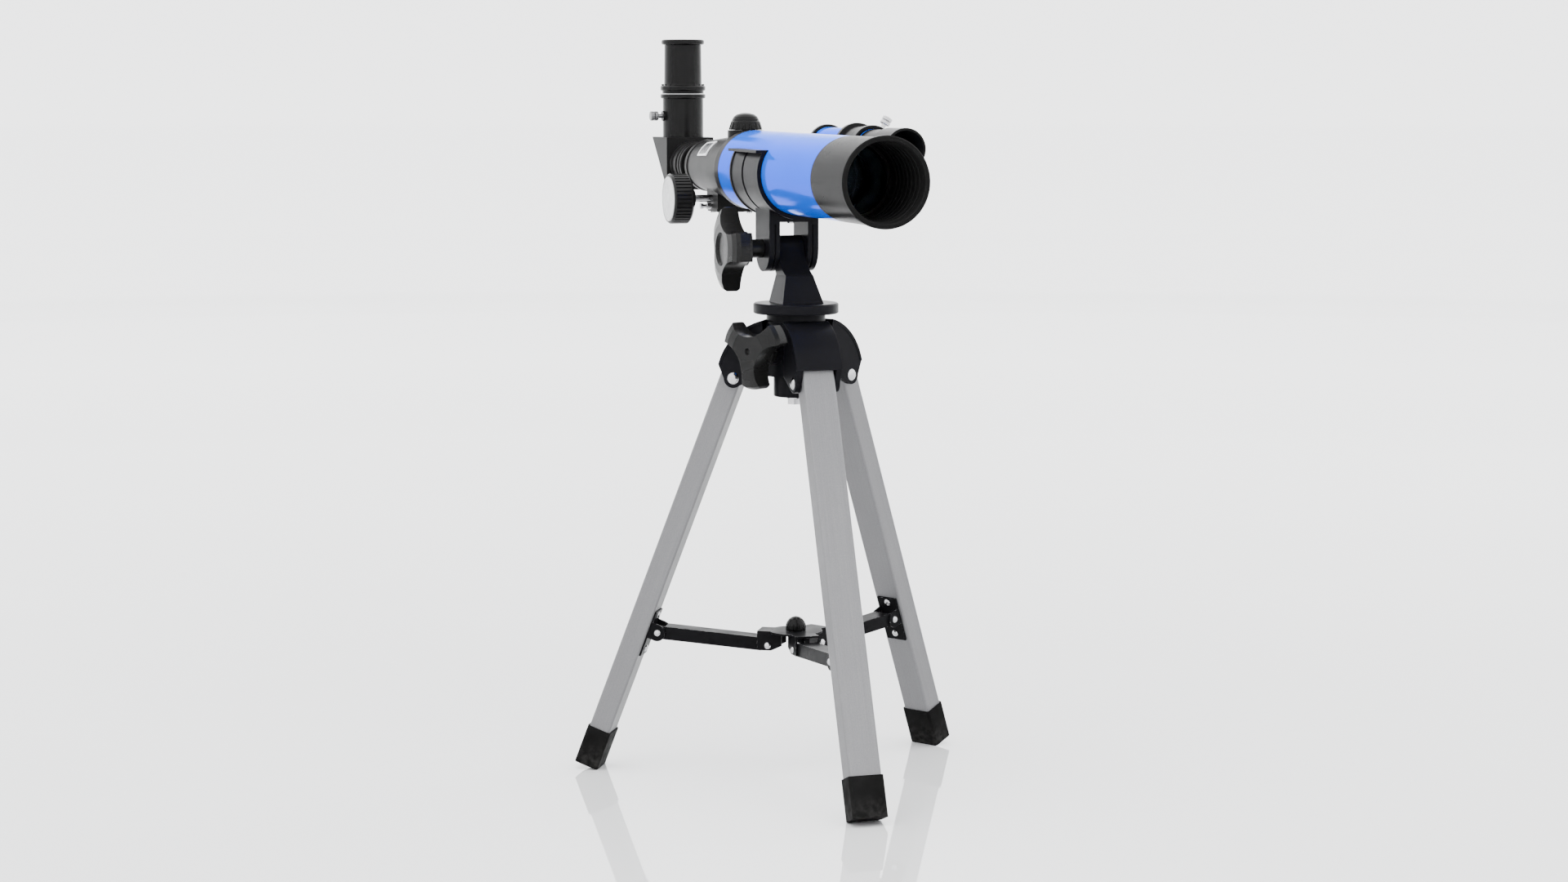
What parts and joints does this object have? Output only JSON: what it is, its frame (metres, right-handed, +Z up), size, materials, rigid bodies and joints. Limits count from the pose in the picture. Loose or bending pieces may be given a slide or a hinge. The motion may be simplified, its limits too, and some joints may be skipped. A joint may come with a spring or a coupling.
{
  "type": "tabletop refractor telescope",
  "caption": "Small blue-tubed refracting telescope with star diagonal and finder on a folding tabletop tripod; swivels, tilts, focuses, and its legs fold.",
  "frame": {"origin": "the floor, straight below the tripod's azimuth axis", "axes": "+Z up along the azimuth axis; at rest the tube is level and points towards -Y, so +X is the observer's left-hand side where the finder is"},
  "size_m": [0.2678, 0.4525, 0.4865],
  "materials": {
    "tube_paint": "gloss blue",
    "black_satin": "satin",
    "dew_shield_black": "fine satin",
    "housing_black": "satin",
    "drawtube_black": "satin",
    "knob_black": "moulded, semi-gloss",
    "dome_black": "gloss",
    "eyepiece_black": "semi-gloss",
    "finder_black": "semi-gloss",
    "mount_black": "moulded satin",
    "spreader_paint": "satin black",
    "foot_rubber": "moulded",
    "leg_aluminium": "fine anodised",
    "bright_steel": "nickel plated",
    "dark_steel": "dark plated",
    "knob_metal": "turned",
    "barrel_chrome": "polished",
    "label_plate": "blank label",
    "lens_glass": "clear, coated",
    "mirror": "front silvered"
  },
  "bodies": {
    "hub": {"tripod_hub": "mount_black", "hinge_pins": "bright_steel"},
    "turntable": {"pedestal": "mount_black", "altitude_bolt": "bright_steel", "azimuth_bolt": "bright_steel"},
    "azimuth_lock": {"azimuth_knob": "knob_black"},
    "altitude_lock": {"altitude_knob": "knob_black"},
    "telescope": {"main_tube": "tube_paint", "objective_cell": "black_satin", "objective_lenses": "lens_glass", "lens_retainer": "black_satin", "dew_shield": "dew_shield_black", "tube_baffles": "black_satin", "focuser_housing": "housing_black", "pinion_cover": "housing_black", "body_screws": "bright_steel", "label_plate": "label_plate", "finder_tube": "tube_paint", "finder_hood": "finder_black", "finder_rear": "finder_black", "finder_lenses": "lens_glass", "finder_bracket": "finder_black", "cradle": "mount_black"},
    "draw": {"drawtube": "drawtube_black", "rack": "black_satin", "drawtube_collar": "black_satin"},
    "focus": {"pinion": "bright_steel", "focus_knobs": "knob_black", "knob_caps": "knob_metal"},
    "draw_lock": {"lock_knob": "dome_black"},
    "diagonal": {"diagonal_housing": "housing_black", "diagonal_mirror": "mirror", "diagonal_nosepiece": "black_satin", "eyepiece_socket": "eyepiece_black"},
    "eyepiece_clamp": {"eyepiece_screw": "dark_steel"},
    "eyepiece": {"eyepiece_body": "eyepiece_black", "eyepiece_barrel": "barrel_chrome", "eyepiece_lenses": "lens_glass"},
    "finder_clamp_upper": {"finder_screw_upper": "bright_steel"},
    "finder_clamp_outer": {"finder_screw_outer": "bright_steel"},
    "spreader_centre": {"spreader_bracket": "spreader_paint", "spreader_rivets": "bright_steel"},
    "spreader_knob": {"spreader_knob": "dome_black"},
    "leg_front": {"leg_tube_front": "leg_aluminium", "foot_cap_front": "foot_rubber", "leg_bracket_front": "spreader_paint", "leg_rivets_front": "bright_steel"},
    "arm_front": {"spreader_arm_front": "spreader_paint"},
    "leg_right": {"leg_tube_right": "leg_aluminium", "foot_cap_right": "foot_rubber", "leg_bracket_right": "spreader_paint", "leg_rivets_right": "bright_steel"},
    "arm_right": {"spreader_arm_right": "spreader_paint"},
    "leg_left": {"leg_tube_left": "leg_aluminium", "foot_cap_left": "foot_rubber", "leg_bracket_left": "spreader_paint", "leg_rivets_left": "bright_steel"},
    "arm_left": {"spreader_arm_left": "spreader_paint"}
  },
  "joints": [
    {"name": "azimuth_swivel", "type": "hinge", "parent": "hub", "child": "turntable", "pos_m": [0, 0, 0.305], "axis": [0, 0, 1], "continuous": true},
    {"name": "altitude_tilt", "type": "hinge", "parent": "turntable", "child": "telescope", "pos_m": [0, 0.0189, 0.3485], "axis": [1, 0, 0], "range_deg": [-75, 40]},
    {"name": "azimuth_lock_turn", "type": "hinge", "parent": "hub", "child": "azimuth_lock", "pos_m": [-0.03031, -0.0175, 0.285], "axis": [-0.866, -0.5, 0], "range_deg": [-360, 180]},
    {"name": "altitude_lock_turn", "type": "hinge", "parent": "turntable", "child": "altitude_lock", "pos_m": [-0.035, 0.0189, 0.3485], "axis": [-1, 0, 0], "range_deg": [-360, 180]},
    {"name": "drawtube_slide", "type": "slide", "parent": "telescope", "child": "draw", "axis": [0, 1, 0], "range_m": [-0.017, 0.03]},
    {"name": "focus_turn", "type": "hinge", "parent": "telescope", "child": "focus", "pos_m": [0, 0.143, 0.3765], "axis": [1, 0, 0], "range_deg": [-307, 174]},
    {"name": "drawtube_lock_turn", "type": "hinge", "parent": "telescope", "child": "draw_lock", "pos_m": [0, 0.1092, 0.4275], "axis": [0, 0, 1], "range_deg": [-360, 180]},
    {"name": "diagonal_turn", "type": "hinge", "parent": "draw", "child": "diagonal", "pos_m": [0, 0.243, 0.3975], "axis": [0, 1, 0], "range_deg": [-90, 90]},
    {"name": "eyepiece_clamp_turn", "type": "hinge", "parent": "diagonal", "child": "eyepiece_clamp", "pos_m": [-0.02, 0.261, 0.4315], "axis": [-1, 0, 0], "range_deg": [-360, 180]},
    {"name": "eyepiece_slide", "type": "slide", "parent": "diagonal", "child": "eyepiece", "axis": [0, 0, 1], "range_m": [0, 0.02]},
    {"name": "finder_clamp_upper_turn", "type": "hinge", "parent": "telescope", "child": "finder_clamp_upper", "pos_m": [0.04913, -0.0305, 0.42876], "axis": [0.524, 0, 0.8517], "range_deg": [-360, 180]},
    {"name": "finder_clamp_outer_turn", "type": "hinge", "parent": "telescope", "child": "finder_clamp_outer", "pos_m": [0.04836, -0.0305, 0.40106], "axis": [0.4756, 0, -0.8796], "range_deg": [-360, 180]},
    {"name": "leg_fold_front", "type": "hinge", "parent": "hub", "child": "leg_front", "pos_m": [0, -0.0387, 0.265], "axis": [1, 0, 0], "range_deg": [0, 12.8]},
    {"name": "leg_fold_right", "type": "hinge", "parent": "hub", "child": "leg_right", "pos_m": [0.03352, 0.01935, 0.265], "axis": [-0.5, 0.866, 0], "range_deg": [0, 12.8]},
    {"name": "leg_fold_left", "type": "hinge", "parent": "hub", "child": "leg_left", "pos_m": [-0.03352, 0.01935, 0.265], "axis": [-0.5, -0.866, 0], "range_deg": [0, 12.8]},
    {"name": "arm_fold_front", "type": "hinge", "parent": "leg_front", "child": "arm_front", "pos_m": [0, -0.0923, 0.0938], "axis": [1, 0, 0], "range_deg": [0, 53.16]},
    {"name": "arm_fold_right", "type": "hinge", "parent": "leg_right", "child": "arm_right", "pos_m": [0.07993, 0.04615, 0.0938], "axis": [-0.5, 0.866, 0], "range_deg": [0, 53.16]},
    {"name": "arm_fold_left", "type": "hinge", "parent": "leg_left", "child": "arm_left", "pos_m": [-0.07993, 0.04615, 0.0938], "axis": [-0.5, -0.866, 0], "range_deg": [0, 53.16]},
    {"name": "spreader_lift", "type": "slide", "parent": "hub", "child": "spreader_centre", "axis": [0, 0, 1], "range_m": [0, 0.0641]},
    {"name": "spreader_knob_turn", "type": "hinge", "parent": "spreader_centre", "child": "spreader_knob", "pos_m": [0, 0, 0.1002], "axis": [0, 0, 1], "continuous": true}
  ],
  "couplings": [
    {"joint": "focus_turn", "follows": "drawtube_slide", "rad_per_m": -178.57},
    {"joint": "leg_fold_right", "follows": "leg_fold_front", "ratio": 1},
    {"joint": "leg_fold_left", "follows": "leg_fold_front", "ratio": 1},
    {"joint": "arm_fold_front", "follows": "leg_fold_front", "ratio": 4.1523},
    {"joint": "arm_fold_right", "follows": "leg_fold_front", "ratio": 4.1523},
    {"joint": "arm_fold_left", "follows": "leg_fold_front", "ratio": 4.1523},
    {"joint": "spreader_lift", "follows": "leg_fold_front", "m_per_rad": 0.2869}
  ]
}
